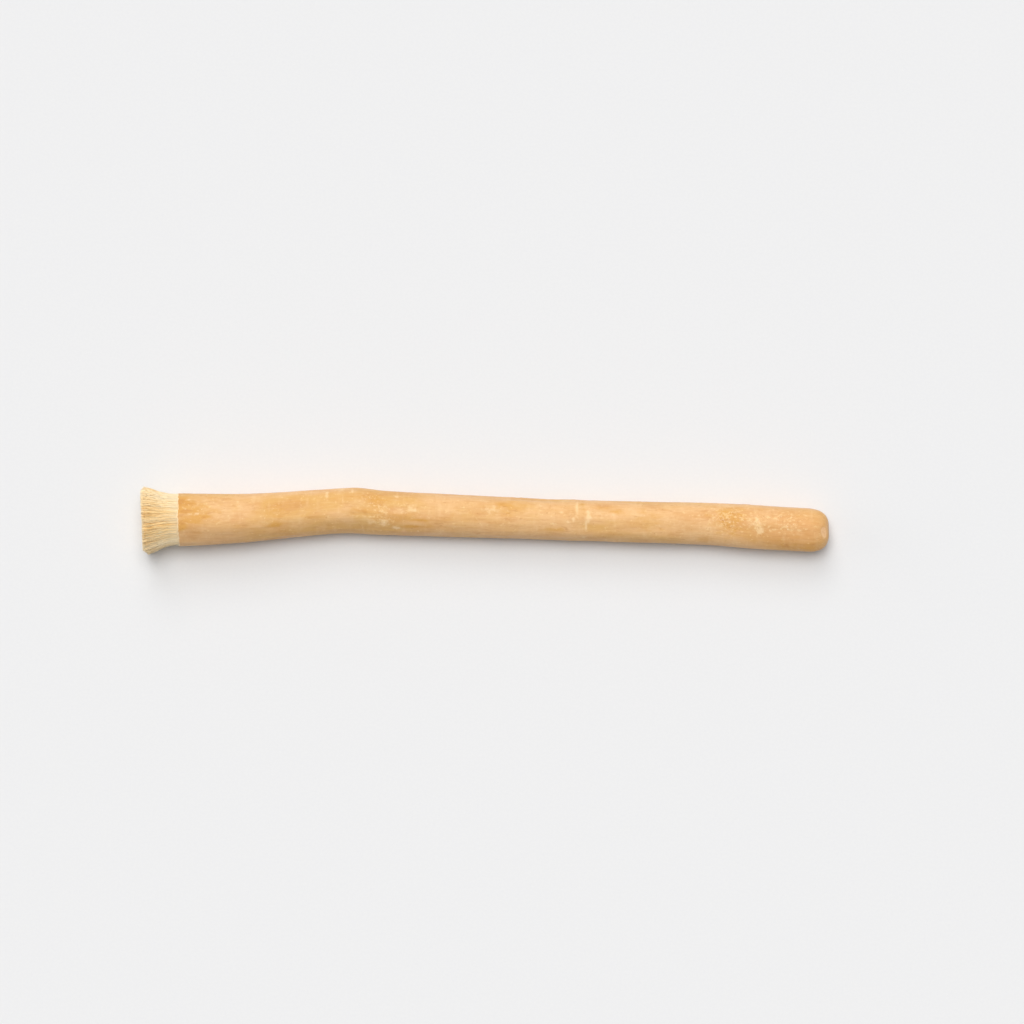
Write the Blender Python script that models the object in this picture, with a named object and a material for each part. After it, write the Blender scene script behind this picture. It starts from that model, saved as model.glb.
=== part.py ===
"""A miswak stick: a length of root with its bark on and one end worked out into a brush.

It grew as one piece, so it is one object. It lies on its side along X, with the brush at -X, the
plain end at +X, Z up and the surface that it rests on at Z = 0. All sizes are in metres.

Distances called "along" run from the tip of the brush towards the plain end. Angles run around the
root, from +Y (a quarter turn is up, three quarters is the underside).
"""
import math
import random
from collections import namedtuple

import bmesh
import bpy
from mathutils import Vector

MM = 0.001

# The whole stick and its faceting
LENGTH = 150.0 * MM
COLUMNS = 60
RING_SPACING = 3.0 * MM
SEED = 41

# Places along the root: its bend to the side, its width, and how far its underside clears the
# surface. Below zero the root is flattened there by its own weight and rests on that flat.
Station = namedtuple("Station", "along sideways width clearance")
STATIONS = (
    Station(8.4 * MM, -0.12 * MM, 11.40 * MM, 0.80 * MM),
    Station(14.5 * MM, -0.06 * MM, 11.15 * MM, 0.62 * MM),
    Station(24.0 * MM, 0.27 * MM, 10.55 * MM, 0.42 * MM),
    Station(36.0 * MM, 1.26 * MM, 10.00 * MM, 0.14 * MM),
    Station(46.0 * MM, 1.93 * MM, 9.80 * MM, -0.15 * MM),
    Station(53.0 * MM, 1.45 * MM, 9.70 * MM, -0.10 * MM),
    Station(67.0 * MM, 0.85 * MM, 9.35 * MM, 0.22 * MM),
    Station(88.0 * MM, 0.04 * MM, 8.95 * MM, 0.36 * MM),
    Station(104.0 * MM, -0.48 * MM, 9.00 * MM, 0.26 * MM),
    Station(125.0 * MM, -1.13 * MM, 9.25 * MM, -0.02 * MM),
    Station(138.0 * MM, -1.95 * MM, 9.45 * MM, -0.16 * MM),
    Station(150.0 * MM, -2.60 * MM, 9.40 * MM, -0.06 * MM),
)
DEPTH_TO_WIDTH = 0.98

# Slow waves around the root that keep it from being a turned rod: how many lobes go round, how
# high they stand, where they start and how far they twist over the whole length
Wave = namedtuple("Wave", "lobes height turn twist")
WAVES = (
    Wave(2, 0.07 * MM, 0.6, 1.9),
    Wave(3, 0.06 * MM, 2.1, -1.4),
    Wave(5, 0.05 * MM, 0.3, 1.1),
    Wave(8, 0.03 * MM, 1.2, -0.7),
)

# Knots, scars and swellings: place, height above the bark, and half length and half breadth. A
# height below zero is a dent, and a breadth of more than the root's girth is a ring around it.
Swelling = namedtuple("Swelling", "along angle height half_length half_breadth")
SWELLINGS = (
    Swelling(9.0 * MM, 3.1, 0.16 * MM, 4.0 * MM, 3.0 * MM),
    Swelling(20.0 * MM, 1.9, 0.20 * MM, 6.0 * MM, 3.5 * MM),
    Swelling(33.0 * MM, 5.2, 0.24 * MM, 4.5 * MM, 2.4 * MM),
    Swelling(45.5 * MM, 1.0, 0.22 * MM, 3.4 * MM, 2.6 * MM),
    Swelling(47.5 * MM, 3.9, 0.10 * MM, 4.0 * MM, 40.0 * MM),
    Swelling(59.5 * MM, 1.4, 0.16 * MM, 3.2 * MM, 3.0 * MM),
    Swelling(66.0 * MM, 4.1, -0.24 * MM, 3.5 * MM, 1.8 * MM),
    Swelling(78.0 * MM, 2.4, 0.18 * MM, 4.5 * MM, 2.6 * MM),
    Swelling(94.0 * MM, 1.6, 0.09 * MM, 2.6 * MM, 40.0 * MM),
    Swelling(98.0 * MM, 1.9, -0.22 * MM, 3.0 * MM, 1.6 * MM),
    Swelling(112.0 * MM, 5.4, 0.24 * MM, 4.5 * MM, 2.4 * MM),
    Swelling(121.0 * MM, 2.4, -0.16 * MM, 5.0 * MM, 2.2 * MM),
    Swelling(133.0 * MM, 1.5, 0.10 * MM, 3.5 * MM, 40.0 * MM),
    Swelling(139.0 * MM, 0.9, 0.16 * MM, 4.0 * MM, 2.4 * MM),
)

# The brush: bare fibres from the bark's cut edge to the tips, worked out in locks
BARK_STEP = 0.16 * MM
BARK_EDGE_BOW = 0.12 * MM
BARK_EDGE_SLANT = 0.20 * MM
BARK_EDGE_REACH = 3.0 * MM
LOCK_RINGS = 4
CELLS_PER_RING = 5
CELL_TURNS = (0, 3, 1, 2)
CELL_WOBBLE = 0.12 * MM
LOCK_GAP = 0.10
TIP_SIDEWAYS = -0.36 * MM
TIP_HEIGHT = 6.90 * MM
SPREAD = 1.36
FAN_DELAY = 1.25
TIP_BOW = 0.45 * MM
TIP_SLANT = 0.35 * MM
TIP_RAGGED = 0.35 * MM
TIP_DOME = 0.16 * MM
LOCK_LOOPS = ((0.36, 1.03), (0.70, 1.12), (0.94, 1.08), (1.0, 0.66))
LOCK_LEAN = 0.10 * MM

# The plain end: a blunt dome, with one small knife cut on its upper shoulder. A power of 1 would
# make the dome an ellipse, and less makes it squarer
END_TAPER = 5.6 * MM
END_RINGS = 7
END_LAST_TURN = 0.94
END_POWER = 2 / 3
END_UNEVEN = 0.4 * MM
END_LOBES = 3
END_LOBE_TURN = 1.0
CUT_FACING = Vector((0.66, -0.13, 0.74)).normalized()
CUT_DEPTH = 0.17 * MM

BARK_COLOUR = (0.72, 0.42, 0.18, 1.0)
BARK_ROUGHNESS = 0.5
# Faces that meet more sharply than this keep a crisp edge between them
SHARP_FROM = math.radians(40)


def between(stations, along, value):
    """A smooth curve through one value of the stations, read at a distance along the root."""
    places = [station.along for station in stations]
    values = [getattr(station, value) for station in stations]
    last = len(stations) - 2
    index = min(max(sum(place <= along for place in places) - 1, 0), last)

    def slope(i):
        low, high = max(i - 1, 0), min(i + 1, len(stations) - 1)
        return (values[high] - values[low]) / (places[high] - places[low])

    step = places[index + 1] - places[index]
    t = (along - places[index]) / step
    return (
        values[index] * (1 + 2 * t) * (1 - t) ** 2
        + slope(index) * step * t * (1 - t) ** 2
        + values[index + 1] * t * t * (3 - 2 * t)
        + slope(index + 1) * step * t * t * (t - 1)
    )


def root_centre(along):
    """Sideways place and height of the middle of the root."""
    half_depth = between(STATIONS, along, "width") * DEPTH_TO_WIDTH / 2
    return between(STATIONS, along, "sideways"), between(STATIONS, along, "clearance") + half_depth


def relief(along, angle):
    """Height of the waves, knots and dents above the plain round of the root."""
    half_width = between(STATIONS, along, "width") / 2
    height = 0.0
    for wave in WAVES:
        turn = wave.turn + wave.twist * along / LENGTH
        height += wave.height * math.cos(wave.lobes * (angle - turn))
    for bump in SWELLINGS:
        around = (angle - bump.angle + math.pi) % math.tau - math.pi
        reach = ((along - bump.along) / bump.half_length) ** 2
        reach += (around * half_width / bump.half_breadth) ** 2
        height += bump.height * math.exp(-reach)
    return height


def bark_point(along, angle, share=1.0, shift=0.0):
    """A point on the bark, or part of the way in, moved on along the root by a shift."""
    sideways, height = root_centre(along)
    radius = (between(STATIONS, along, "width") / 2 + relief(along, angle)) * share
    return Vector((
        along + shift,
        sideways + radius * math.cos(angle),
        height + radius * DEPTH_TO_WIDTH * math.sin(angle),
    ))


def column_angles():
    return [math.tau * column / COLUMNS for column in range(COLUMNS)]


def bridge(bm, lower, upper):
    """Quads between two closed loops of vertices of the same count."""
    count = len(lower)
    for i in range(count):
        j = (i + 1) % count
        bm.faces.new((lower[i], lower[j], upper[j], upper[i]))


def add_bark(bm):
    """The root from the bark's cut edge to the start of the end's taper; returns its end loops."""
    start, stop = STATIONS[0].along, LENGTH - END_TAPER
    rings = round((stop - start) / RING_SPACING)
    loops = []
    for ring in range(rings + 1):
        share = ring / rings
        along = start + (stop - start) * share
        loop = []
        for angle in column_angles():
            fade = math.exp(-(along - start) / BARK_EDGE_REACH)
            bow = -BARK_EDGE_BOW * math.sin(angle) - BARK_EDGE_SLANT * math.cos(angle)
            loop.append(bm.verts.new(bark_point(along, angle, shift=bow * fade)))
        loops.append(loop)
    for lower, upper in zip(loops, loops[1:]):
        bridge(bm, lower, upper)
    return loops[0], loops[-1]


def add_plain_end(bm, loop):
    """The blunt dome, closed at its pole, and the flat of the knife cut on it."""
    dome = []
    for ring in range(1, END_RINGS + 1):
        step = ring / END_RINGS
        turn = math.pi / 2 * END_LAST_TURN * step
        along = LENGTH - END_TAPER * (1 - math.sin(turn) ** END_POWER)
        upper = []
        for angle in column_angles():
            lobe = math.sin(END_LOBES * angle + END_LOBE_TURN)
            uneven = END_UNEVEN * lobe * step * (1 - step)
            upper.append(bm.verts.new(bark_point(along, angle, math.cos(turn) ** END_POWER, uneven)))
        bridge(bm, loop, upper)
        loop = upper
        dome += upper
    pole = bm.verts.new(bark_point(LENGTH, 0.0, 0.0))
    for i, vert in enumerate(loop):
        bm.faces.new((vert, loop[(i + 1) % len(loop)], pole))
    cut_level = max(vert.co.dot(CUT_FACING) for vert in dome) - CUT_DEPTH
    for vert in dome:
        vert.co -= max(vert.co.dot(CUT_FACING) - cut_level, 0.0) * CUT_FACING


def cell_edges(ring, rng):
    """The columns at which one ring of brush cells is divided."""
    cells = CELLS_PER_RING * ring
    width = COLUMNS // cells
    loose = 1 if ring <= LOCK_RINGS // 2 else 0
    turn = CELL_TURNS[ring - 1]
    return [(turn + cell * width + rng.randint(-loose, loose)) % COLUMNS for cell in range(cells)]


def add_cut_face(bm, rim, rng):
    """Divides the bare wood inside the bark into cells, one for each lock; returns their loops."""
    centre_y, centre_z = root_centre(STATIONS[0].along)
    edges = [sorted(cell_edges(ring, rng)) for ring in range(1, LOCK_RINGS + 1)]
    circles = []
    for circle in range(1, LOCK_RINGS + 1):
        used = set(edges[circle - 1])
        if circle > 1:
            used |= set(edges[circle - 2])
        share = (circle - 0.5) / (LOCK_RINGS + 0.5)
        verts = {}
        for column in sorted(used):
            out = rim[column].co
            wobble = Vector((0, rng.uniform(-1, 1), rng.uniform(-1, 1))) * CELL_WOBBLE
            middle = Vector((out.x, centre_y, centre_z))
            verts[column] = bm.verts.new(middle.lerp(out, share) + wobble)
        circles.append(verts)
    circles.append(dict(enumerate(rim)))

    cells = [[circles[0][column] for column in sorted(circles[0])]]
    for ring in range(1, LOCK_RINGS + 1):
        marks = edges[ring - 1]
        for i, first in enumerate(marks):
            last = marks[(i + 1) % len(marks)]
            span = (last - first) % COLUMNS
            columns = [(first + k) % COLUMNS for k in range(span + 1)]
            inner = [circles[ring - 1][c] for c in columns if c in circles[ring - 1]]
            outer = [circles[ring][c] for c in columns if c in circles[ring]]
            cells.append(outer + inner[::-1])
    return cells


def brush_point(root, distance):
    """Where a point of the cut face has fanned out to, at a distance in front of it."""
    collar_y, collar_z = root_centre(STATIONS[0].along)
    t = distance / STATIONS[0].along
    fan = 1 + (SPREAD - 1) * (t * t * (3 - 2 * t)) ** FAN_DELAY
    return Vector((
        root.x - distance,
        collar_y + (TIP_SIDEWAYS - collar_y) * t + (root.y - collar_y) * fan,
        collar_z + (TIP_HEIGHT - collar_z) * t + (root.z - collar_z) * fan,
    ))


def add_lock(bm, cell, rng):
    """One lock of fibres, grown out of its cell of the cut face and domed at its tip."""
    collar_y, collar_z = root_centre(STATIONS[0].along)
    half_width = STATIONS[0].width / 2
    root = sum((vert.co for vert in cell), Vector()) / len(cell)
    away_y, away_z = (root.y - collar_y) / half_width, (root.z - collar_z) / half_width
    away = math.hypot(away_y, away_z)
    short = TIP_BOW * away ** 2 - TIP_SLANT * away_y
    short += TIP_RAGGED * rng.random() * min(away * LOCK_RINGS, 1.0)
    length = root.x - short
    lean = Vector((0, rng.uniform(-1, 1), rng.uniform(-1, 1))) * LOCK_LEAN

    offsets = [vert.co - root for vert in cell]
    loop = [bm.verts.new(root + offset * (1 - LOCK_GAP)) for offset in offsets]
    bridge(bm, cell, loop)
    for share, scale in LOCK_LOOPS:
        centre = brush_point(root, length * share) + lean * share
        swell = scale * (1 - LOCK_GAP)
        upper = []
        for offset in offsets:
            spot = centre + Vector((0, offset.y, offset.z)) * swell
            upper.append(bm.verts.new(spot))
        bridge(bm, loop, upper)
        loop = upper
    tip = bm.verts.new(centre - Vector((TIP_DOME, 0, 0)))
    for i, vert in enumerate(loop):
        bm.faces.new((vert, loop[(i + 1) % len(loop)], tip))


def add_brush(bm, bark_edge, rng):
    """The step from the bark's edge down to the bare wood, and the locks that grow from it."""
    centre_y, centre_z = root_centre(STATIONS[0].along)
    rim = []
    for vert in bark_edge:
        inward = Vector((0, centre_y - vert.co.y, centre_z - vert.co.z)).normalized()
        rim.append(bm.verts.new(vert.co + inward * BARK_STEP))
    bridge(bm, bark_edge, rim)
    for cell in add_cut_face(bm, rim, rng):
        add_lock(bm, cell, rng)


def lay_down(bm):
    """Flattens what would press into the surface and puts the middle of the box over the origin."""
    for vert in bm.verts:
        vert.co.z = max(vert.co.z, 0.0)
    low = [min(vert.co[axis] for vert in bm.verts) for axis in range(3)]
    high = [max(vert.co[axis] for vert in bm.verts) for axis in range(3)]
    shift = Vector(((low[0] + high[0]) / 2, (low[1] + high[1]) / 2, low[2]))
    for vert in bm.verts:
        vert.co -= shift


def bark_material():
    material = bpy.data.materials.new("bark")
    material.use_nodes = True
    shader = material.node_tree.nodes["Principled BSDF"]
    shader.inputs["Base Color"].default_value = BARK_COLOUR
    shader.inputs["Roughness"].default_value = BARK_ROUGHNESS
    shader.inputs["Metallic"].default_value = 0.0
    return material


def build_stick():
    rng = random.Random(SEED)
    bm = bmesh.new()
    bark_edge, far_loop = add_bark(bm)
    add_plain_end(bm, far_loop)
    add_brush(bm, bark_edge, rng)
    lay_down(bm)
    bmesh.ops.recalc_face_normals(bm, faces=bm.faces)
    mesh = bpy.data.meshes.new("stick")
    bm.to_mesh(mesh)
    bm.free()
    mesh.shade_smooth()
    mesh.set_sharp_from_angle(angle=SHARP_FROM)
    mesh.materials.append(bark_material())
    stick = bpy.data.objects.new("stick", mesh)
    bpy.context.scene.collection.objects.link(stick)


for old in list(bpy.data.objects):
    bpy.data.objects.remove(old, do_unlink=True)
build_stick()
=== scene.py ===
"""The looks of a miswak stick: dried root bark, a brush of its own fibres and a rounded, cut end.

The stick lies along X on the plane Z = 0, with its brush at -X. Distances called "along" run from
the tips of the brush towards the plain end. Angles run around the root from +Y: a quarter turn is
straight up, half a turn is the side towards -Y and three quarters is the underside.
"""
import logging
import math
import random
from dataclasses import dataclass, field
from enum import Enum

import bpy
import numpy as np
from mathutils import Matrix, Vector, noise


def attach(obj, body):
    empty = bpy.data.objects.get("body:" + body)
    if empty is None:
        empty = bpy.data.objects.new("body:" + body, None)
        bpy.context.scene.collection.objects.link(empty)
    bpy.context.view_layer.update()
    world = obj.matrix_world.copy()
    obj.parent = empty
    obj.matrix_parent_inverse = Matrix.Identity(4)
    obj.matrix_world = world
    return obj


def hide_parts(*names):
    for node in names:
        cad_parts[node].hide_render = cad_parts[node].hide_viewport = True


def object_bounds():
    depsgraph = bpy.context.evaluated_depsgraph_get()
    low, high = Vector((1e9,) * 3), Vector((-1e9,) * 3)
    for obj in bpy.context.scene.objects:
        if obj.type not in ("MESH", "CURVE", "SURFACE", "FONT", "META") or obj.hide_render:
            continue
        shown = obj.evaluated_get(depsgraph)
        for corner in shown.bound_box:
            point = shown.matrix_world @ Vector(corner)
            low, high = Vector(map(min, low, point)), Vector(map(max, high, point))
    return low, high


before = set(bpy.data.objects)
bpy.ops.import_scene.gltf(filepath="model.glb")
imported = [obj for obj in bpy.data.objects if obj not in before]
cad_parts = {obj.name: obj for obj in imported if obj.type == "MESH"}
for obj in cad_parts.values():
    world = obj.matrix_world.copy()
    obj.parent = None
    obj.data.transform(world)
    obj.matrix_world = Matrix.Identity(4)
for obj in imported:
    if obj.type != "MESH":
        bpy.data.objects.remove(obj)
cad_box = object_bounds()

log = logging.getLogger("miswak")

MM = 0.001
NODE = "stick"
BODY = "root"
Array = np.ndarray
Socket = bpy.types.NodeSocket


def linear(hex_colour: str) -> tuple[float, float, float, float]:
    """Turns an sRGB hex colour into the linear one that shaders and lights take.

    Args:
        hex_colour: Six hex digits after a hash sign.

    Returns:
        Linear red, green and blue, and an alpha of one.
    """
    channels = [int(hex_colour[i : i + 2], 16) / 255 for i in (1, 3, 5)]
    bright = [c / 12.92 if c <= 0.04045 else ((c + 0.055) / 1.055) ** 2.4 for c in channels]
    return (*bright, 1.0)


@dataclass(frozen=True)
class Pattern:
    """Noise in a piece's own measure: its features to the mm, its finer layers and its form.

    A scale under one draws the features out that way, along the piece or around it.
    """

    per_mm: float
    detail: float
    along: float = 1.0
    around: float = 1.0
    wave: float = 0.0
    roughness: float = 0.55


@dataclass(frozen=True)
class Layer:
    """A thin layer of colour: it starts at one end of a band of values and is at its most at the other.

    The value is the pattern plus the painted value times its gain, or the one of them that it has.
    The colour is a hex one or an output.
    """

    colour: str | Socket
    band: tuple[float, float]
    most: float
    pattern: Pattern | None = None
    painted: str = ""
    gain: float = 1.0


@dataclass(frozen=True)
class Relief:
    """Grain that is too fine for the mesh: its pattern, its strength and its depth in mm."""

    pattern: Pattern
    strength: float
    depth: float


class Easing(Enum):
    """How a layer of colour comes in over its band."""

    SOFT = "SMOOTHSTEP"
    EVEN = "LINEAR"


class Finish:
    """A material while it is built up, layer on layer."""

    def __init__(self, name: str) -> None:
        """Starts the material, named for the real surface."""
        self.material = bpy.data.materials.new(name)
        self.material.use_nodes = True
        self.tree = self.material.node_tree

    def feed(self, node: bpy.types.Node, inputs: dict) -> None:
        """Gives sockets of a node, by name or number, a value or a link from an output.

        Args:
            node: The node.
            inputs: For each socket, its value or the output that feeds it.
        """
        for socket, value in inputs.items():
            if isinstance(value, Socket):
                self.tree.links.new(value, node.inputs[socket])
            else:
                node.inputs[socket].default_value = value

    def add_node(self, kind: str, inputs: dict | None = None, **settings: object) -> bpy.types.Node:
        """Adds one node with its settings and links.

        Args:
            kind: Blender's name for the node, after the words ShaderNode.
            inputs: For each socket's name or number, a value or the output that feeds it.
            **settings: Options of the node itself.

        Returns:
            The new node.
        """
        node = self.tree.nodes.new("ShaderNode" + kind)
        for name, value in settings.items():
            setattr(node, name, value)
        self.feed(node, inputs or {})
        return node

    def read_pattern(self, pattern: Pattern) -> Socket:
        """Reads a pattern in the measure in mm that is painted on the piece and follows its bends.

        Args:
            pattern: The pattern.

        Returns:
            The noise, around one half.
        """
        grain = self.add_node("Attribute", attribute_name="grain").outputs["Vector"]
        inputs = {0: grain, 1: (pattern.along, pattern.around, pattern.around)}
        inputs = {
            "Vector": self.add_node("VectorMath", inputs, operation="MULTIPLY").outputs[0],
            "Scale": pattern.per_mm,
            "Detail": pattern.detail,
            "Roughness": pattern.roughness,
            "Distortion": pattern.wave,
        }
        return self.add_node("TexNoise", inputs).outputs[0]

    def lay(
        self, ground: object, over: object, value: Socket, band: tuple[float, float], most: float,
        easing: Easing = Easing.SOFT,
    ) -> Socket:
        """Lays one colour over another where a value passes from one end of a band to the other.

        Args:
            ground: The lower colour or the output that gives it.
            over: The upper colour or the output that gives it.
            value: The value that is read.
            band: Where the upper colour starts and where it is at its most.
            most: The upper colour's most, from 0 to 1.
            easing: How it comes in over the band.

        Returns:
            The mixed colour.
        """
        inputs = {0: value, 1: band[0], 2: band[1], 3: 0.0, 4: most}
        share = self.add_node("MapRange", inputs, interpolation_type=easing.value).outputs[0]
        return self.add_node("Mix", {0: share, 6: ground, 7: over}, data_type="RGBA").outputs[2]

    def build_up(self, ground: object, layers: tuple[Layer, ...]) -> Socket:
        """Lays layers of colour over a ground, the first one lowest.

        Args:
            ground: The colour under them or the output that gives it.
            layers: The layers.

        Returns:
            The colour on top.
        """
        for layer in layers:
            value = self.read_pattern(layer.pattern) if layer.pattern else 0.0
            if layer.painted:
                painted = self.add_node("Attribute", attribute_name=layer.painted)
                inputs = {0: painted.outputs["Fac"], 1: layer.gain, 2: value}
                value = self.add_node("Math", inputs, operation="MULTIPLY_ADD").outputs[0]
            over = linear(layer.colour) if isinstance(layer.colour, str) else layer.colour
            ground = self.lay(ground, over, value, layer.band, layer.most)
        return ground

    def emboss(self, reliefs: tuple[Relief, ...]) -> Socket:
        """Bends the normal by reliefs, one over the other.

        Args:
            reliefs: The reliefs.

        Returns:
            The bent normal.
        """
        inputs = {}
        for relief in reliefs:
            height = self.read_pattern(relief.pattern)
            inputs |= {"Strength": relief.strength, "Distance": relief.depth * MM, "Height": height}
            inputs["Normal"] = self.add_node("Bump", inputs).outputs[0]
        return inputs["Normal"]

    def coat(self, inputs: dict) -> bpy.types.Material:
        """Feeds the Principled shader its inputs and hands over the material."""
        self.feed(self.tree.nodes["Principled BSDF"], inputs)
        return self.material


def perlin(points: Array, scales: tuple[float, float, float], turn: float) -> Array:
    """Reads smooth noise at many points.

    Args:
        points: Places in millimetres, one to a row.
        scales: Waves to the millimetre along each axis.
        turn: A shift that gives each use its own pattern.

    Returns:
        One value for each point, between about -1 and 1.
    """
    places = (points * np.array(scales) + turn).tolist()
    return np.array([noise.noise(place) for place in places])


def smooth(share: Array) -> Array:
    """Eases a share between 0 and 1 in and out."""
    share = np.clip(share, 0.0, 1.0)
    return share * share * (3 - 2 * share)


def apart(angle: Array, middle: float) -> Array:
    """How far angles are from a middle one, from half a turn back to half a turn on."""
    return (angle - middle + math.pi) % math.tau - math.pi


def on_tube(along: Array, radius: Array, angle: Array, flat: float = 1.0) -> Array:
    """Places points on a straight tube along X.

    Args:
        along: Distances along the tube.
        radius: The tube's radius at each point.
        angle: Angles around it.
        flat: Its height as a share of its breadth.

    Returns:
        The points, with the last axis x, y, z.
    """
    parts = (along, radius * np.cos(angle), radius * flat * np.sin(angle))
    return np.stack(np.broadcast_arrays(*parts), axis=-1)


def sunflower(count: int, inner: float = 0.0, outer: float = 1.0) -> tuple[Array, Array]:
    """Spreads places evenly over a disc or a ring, as seeds stand in a sunflower.

    Args:
        count: How many there are.
        inner: The ring's inner radius.
        outer: Its outer radius.

    Returns:
        Each place's distance from the middle and its angle.
    """
    order = np.arange(count) + 0.5
    away = np.sqrt(inner ** 2 + (outer ** 2 - inner ** 2) * order / count)
    return away, order * math.pi * (3 - math.sqrt(5))


def tube_faces(rings: int, columns: int, reverse: bool = False) -> list[list[int]]:
    """Numbers the faces of a closed tube, whose ends' two middles come after its rings.

    Args:
        rings: How many rings of points there are.
        columns: How many points go to a ring.
        reverse: Whether the faces run the other way round.

    Returns:
        The vertex numbers of each face.
    """
    number = np.arange(rings * columns).reshape(rings, columns)
    after = np.roll(number, -1, axis=1)
    quads = np.stack((number[:-1], after[:-1], after[1:], number[1:]), axis=-1).reshape(-1, 4)
    near = np.stack((np.full(columns, number.size), after[0], number[0]), axis=-1)
    far = np.stack((np.full(columns, number.size + 1), number[-1], after[-1]), axis=-1)
    faces = [*quads.tolist(), *near.tolist(), *far.tolist()]
    return [[face[0], *face[:0:-1]] if reverse else face for face in faces]


def with_middles(rings: Array) -> Array:
    """Lists the values of all rings, with the means of the first and the last ring after them."""
    middles = np.stack((rings[0].mean(axis=0), rings[-1].mean(axis=0)))
    return np.concatenate((rings.reshape(-1, *rings.shape[2:]), middles))


@dataclass(frozen=True)
class Station:
    """A place along the root: its bend to the side, its width and its underside's height."""

    along: float
    sideways: float
    width: float
    clearance: float


@dataclass(frozen=True)
class Wave:
    """A slow wave around the root: its lobes, its height, where it starts and how it twists."""

    lobes: int
    height: float
    turn: float
    twist: float


@dataclass(frozen=True)
class Swelling:
    """A knot, swelling or dent that the solid has too: its place, height and half sizes."""

    along: float
    angle: float
    height: float
    half_length: float
    half_breadth: float


@dataclass(frozen=True)
class RootForm:
    """The grown form of the root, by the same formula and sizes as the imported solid, in mm."""

    stations: tuple[Station, ...] = (
        Station(8.4, -0.12, 11.40, 0.80),
        Station(14.5, -0.06, 11.15, 0.62),
        Station(24.0, 0.27, 10.55, 0.42),
        Station(36.0, 1.26, 10.00, 0.14),
        Station(46.0, 1.93, 9.80, -0.15),
        Station(53.0, 1.45, 9.70, -0.10),
        Station(67.0, 0.85, 9.35, 0.22),
        Station(88.0, 0.04, 8.95, 0.36),
        Station(104.0, -0.48, 9.00, 0.26),
        Station(125.0, -1.13, 9.25, -0.02),
        Station(138.0, -1.95, 9.45, -0.16),
        Station(150.0, -2.60, 9.40, -0.06),
    )
    waves: tuple[Wave, ...] = (
        Wave(2, 0.07, 0.6, 1.9),
        Wave(3, 0.06, 2.1, -1.4),
        Wave(5, 0.05, 0.3, 1.1),
        Wave(8, 0.03, 1.2, -0.7),
    )
    swellings: tuple[Swelling, ...] = (
        Swelling(9.0, 3.1, 0.16, 4.0, 3.0),
        Swelling(20.0, 1.9, 0.20, 6.0, 3.5),
        Swelling(33.0, 5.2, 0.24, 4.5, 2.4),
        Swelling(45.5, 1.0, 0.22, 3.4, 2.6),
        Swelling(47.5, 3.9, 0.10, 4.0, 40.0),
        Swelling(59.5, 1.4, 0.16, 3.2, 3.0),
        Swelling(66.0, 4.1, -0.24, 3.5, 1.8),
        Swelling(78.0, 2.4, 0.18, 4.5, 2.6),
        Swelling(94.0, 1.6, 0.09, 2.6, 40.0),
        Swelling(98.0, 1.9, -0.22, 3.0, 1.6),
        Swelling(112.0, 5.4, 0.24, 4.5, 2.4),
        Swelling(121.0, 2.4, -0.16, 5.0, 2.2),
        Swelling(133.0, 1.5, 0.10, 3.5, 40.0),
        Swelling(139.0, 0.9, 0.16, 4.0, 2.4),
    )
    length: float = 150.0
    depth_to_width: float = 0.98
    middle_sideways: float = -0.4024
    wood_sideways: float = -0.05
    # How high the bark steps up from the bare wood
    bark_step: float = 0.16
    # The brush's fan: its middle at the tips, its spread there and how late it opens
    tip_sideways: float = -0.52
    tip_height: float = 6.90
    spread: float = 1.34
    fan_delay: float = 1.4
    # The knife cut around the collar leans and bows a little
    cut_bow: float = 0.12
    cut_slant: float = 0.20

    @property
    def collar(self) -> float:
        """How far along the bark's cut edge lies."""
        return self.stations[0].along

    def read(self, value: str, along: Array) -> Array:
        """Reads a smooth curve through one value of the stations.

        Args:
            value: The name of the value.
            along: Distances along the root.

        Returns:
            The value at each distance.
        """
        places = np.array([station.along for station in self.stations])
        values = np.array([getattr(station, value) for station in self.stations])
        wide_places, wide_values = np.pad(places, 1, mode="edge"), np.pad(values, 1, mode="edge")
        slopes = (wide_values[2:] - wide_values[:-2]) / (wide_places[2:] - wide_places[:-2])
        low = np.clip(np.searchsorted(places, along, side="right") - 1, 0, len(places) - 2)
        step = places[low + 1] - places[low]
        t = (along - places[low]) / step
        return (
            values[low] * (1 + 2 * t) * (1 - t) ** 2
            + slopes[low] * step * t * (1 - t) ** 2
            + values[low + 1] * t * t * (3 - 2 * t)
            + slopes[low + 1] * step * t * t * (t - 1)
        )

    def half_width(self, along: Array) -> Array:
        """Half the root's width at each distance."""
        return self.read("width", along) / 2

    def centre(self, along: Array) -> tuple[Array, Array]:
        """Sideways place and height of the middle of the root at each distance."""
        half_depth = self.half_width(along) * self.depth_to_width
        return self.read("sideways", along), self.read("clearance", along) + half_depth

    def relief(self, along: Array, angle: Array) -> Array:
        """Height of the waves, knots and dents above the plain round of the root.

        Args:
            along: Distances along the root.
            angle: Angles around it.

        Returns:
            The height at each place.
        """
        half_width = self.half_width(along)
        height = np.zeros(np.broadcast(along, angle).shape)
        for wave in self.waves:
            turn = wave.turn + wave.twist * along / self.length
            height = height + wave.height * np.cos(wave.lobes * (angle - turn))
        for bump in self.swellings:
            around = apart(angle, bump.angle)
            reach = ((along - bump.along) / bump.half_length) ** 2
            reach = reach + (around * half_width / bump.half_breadth) ** 2
            height = height + bump.height * np.exp(-reach)
        return height

    def cut_line(self, angle: Array) -> Array:
        """How far behind or in front of the collar the bark's cut edge lies at each angle."""
        return -self.cut_bow * np.sin(angle) - self.cut_slant * np.cos(angle)

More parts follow.
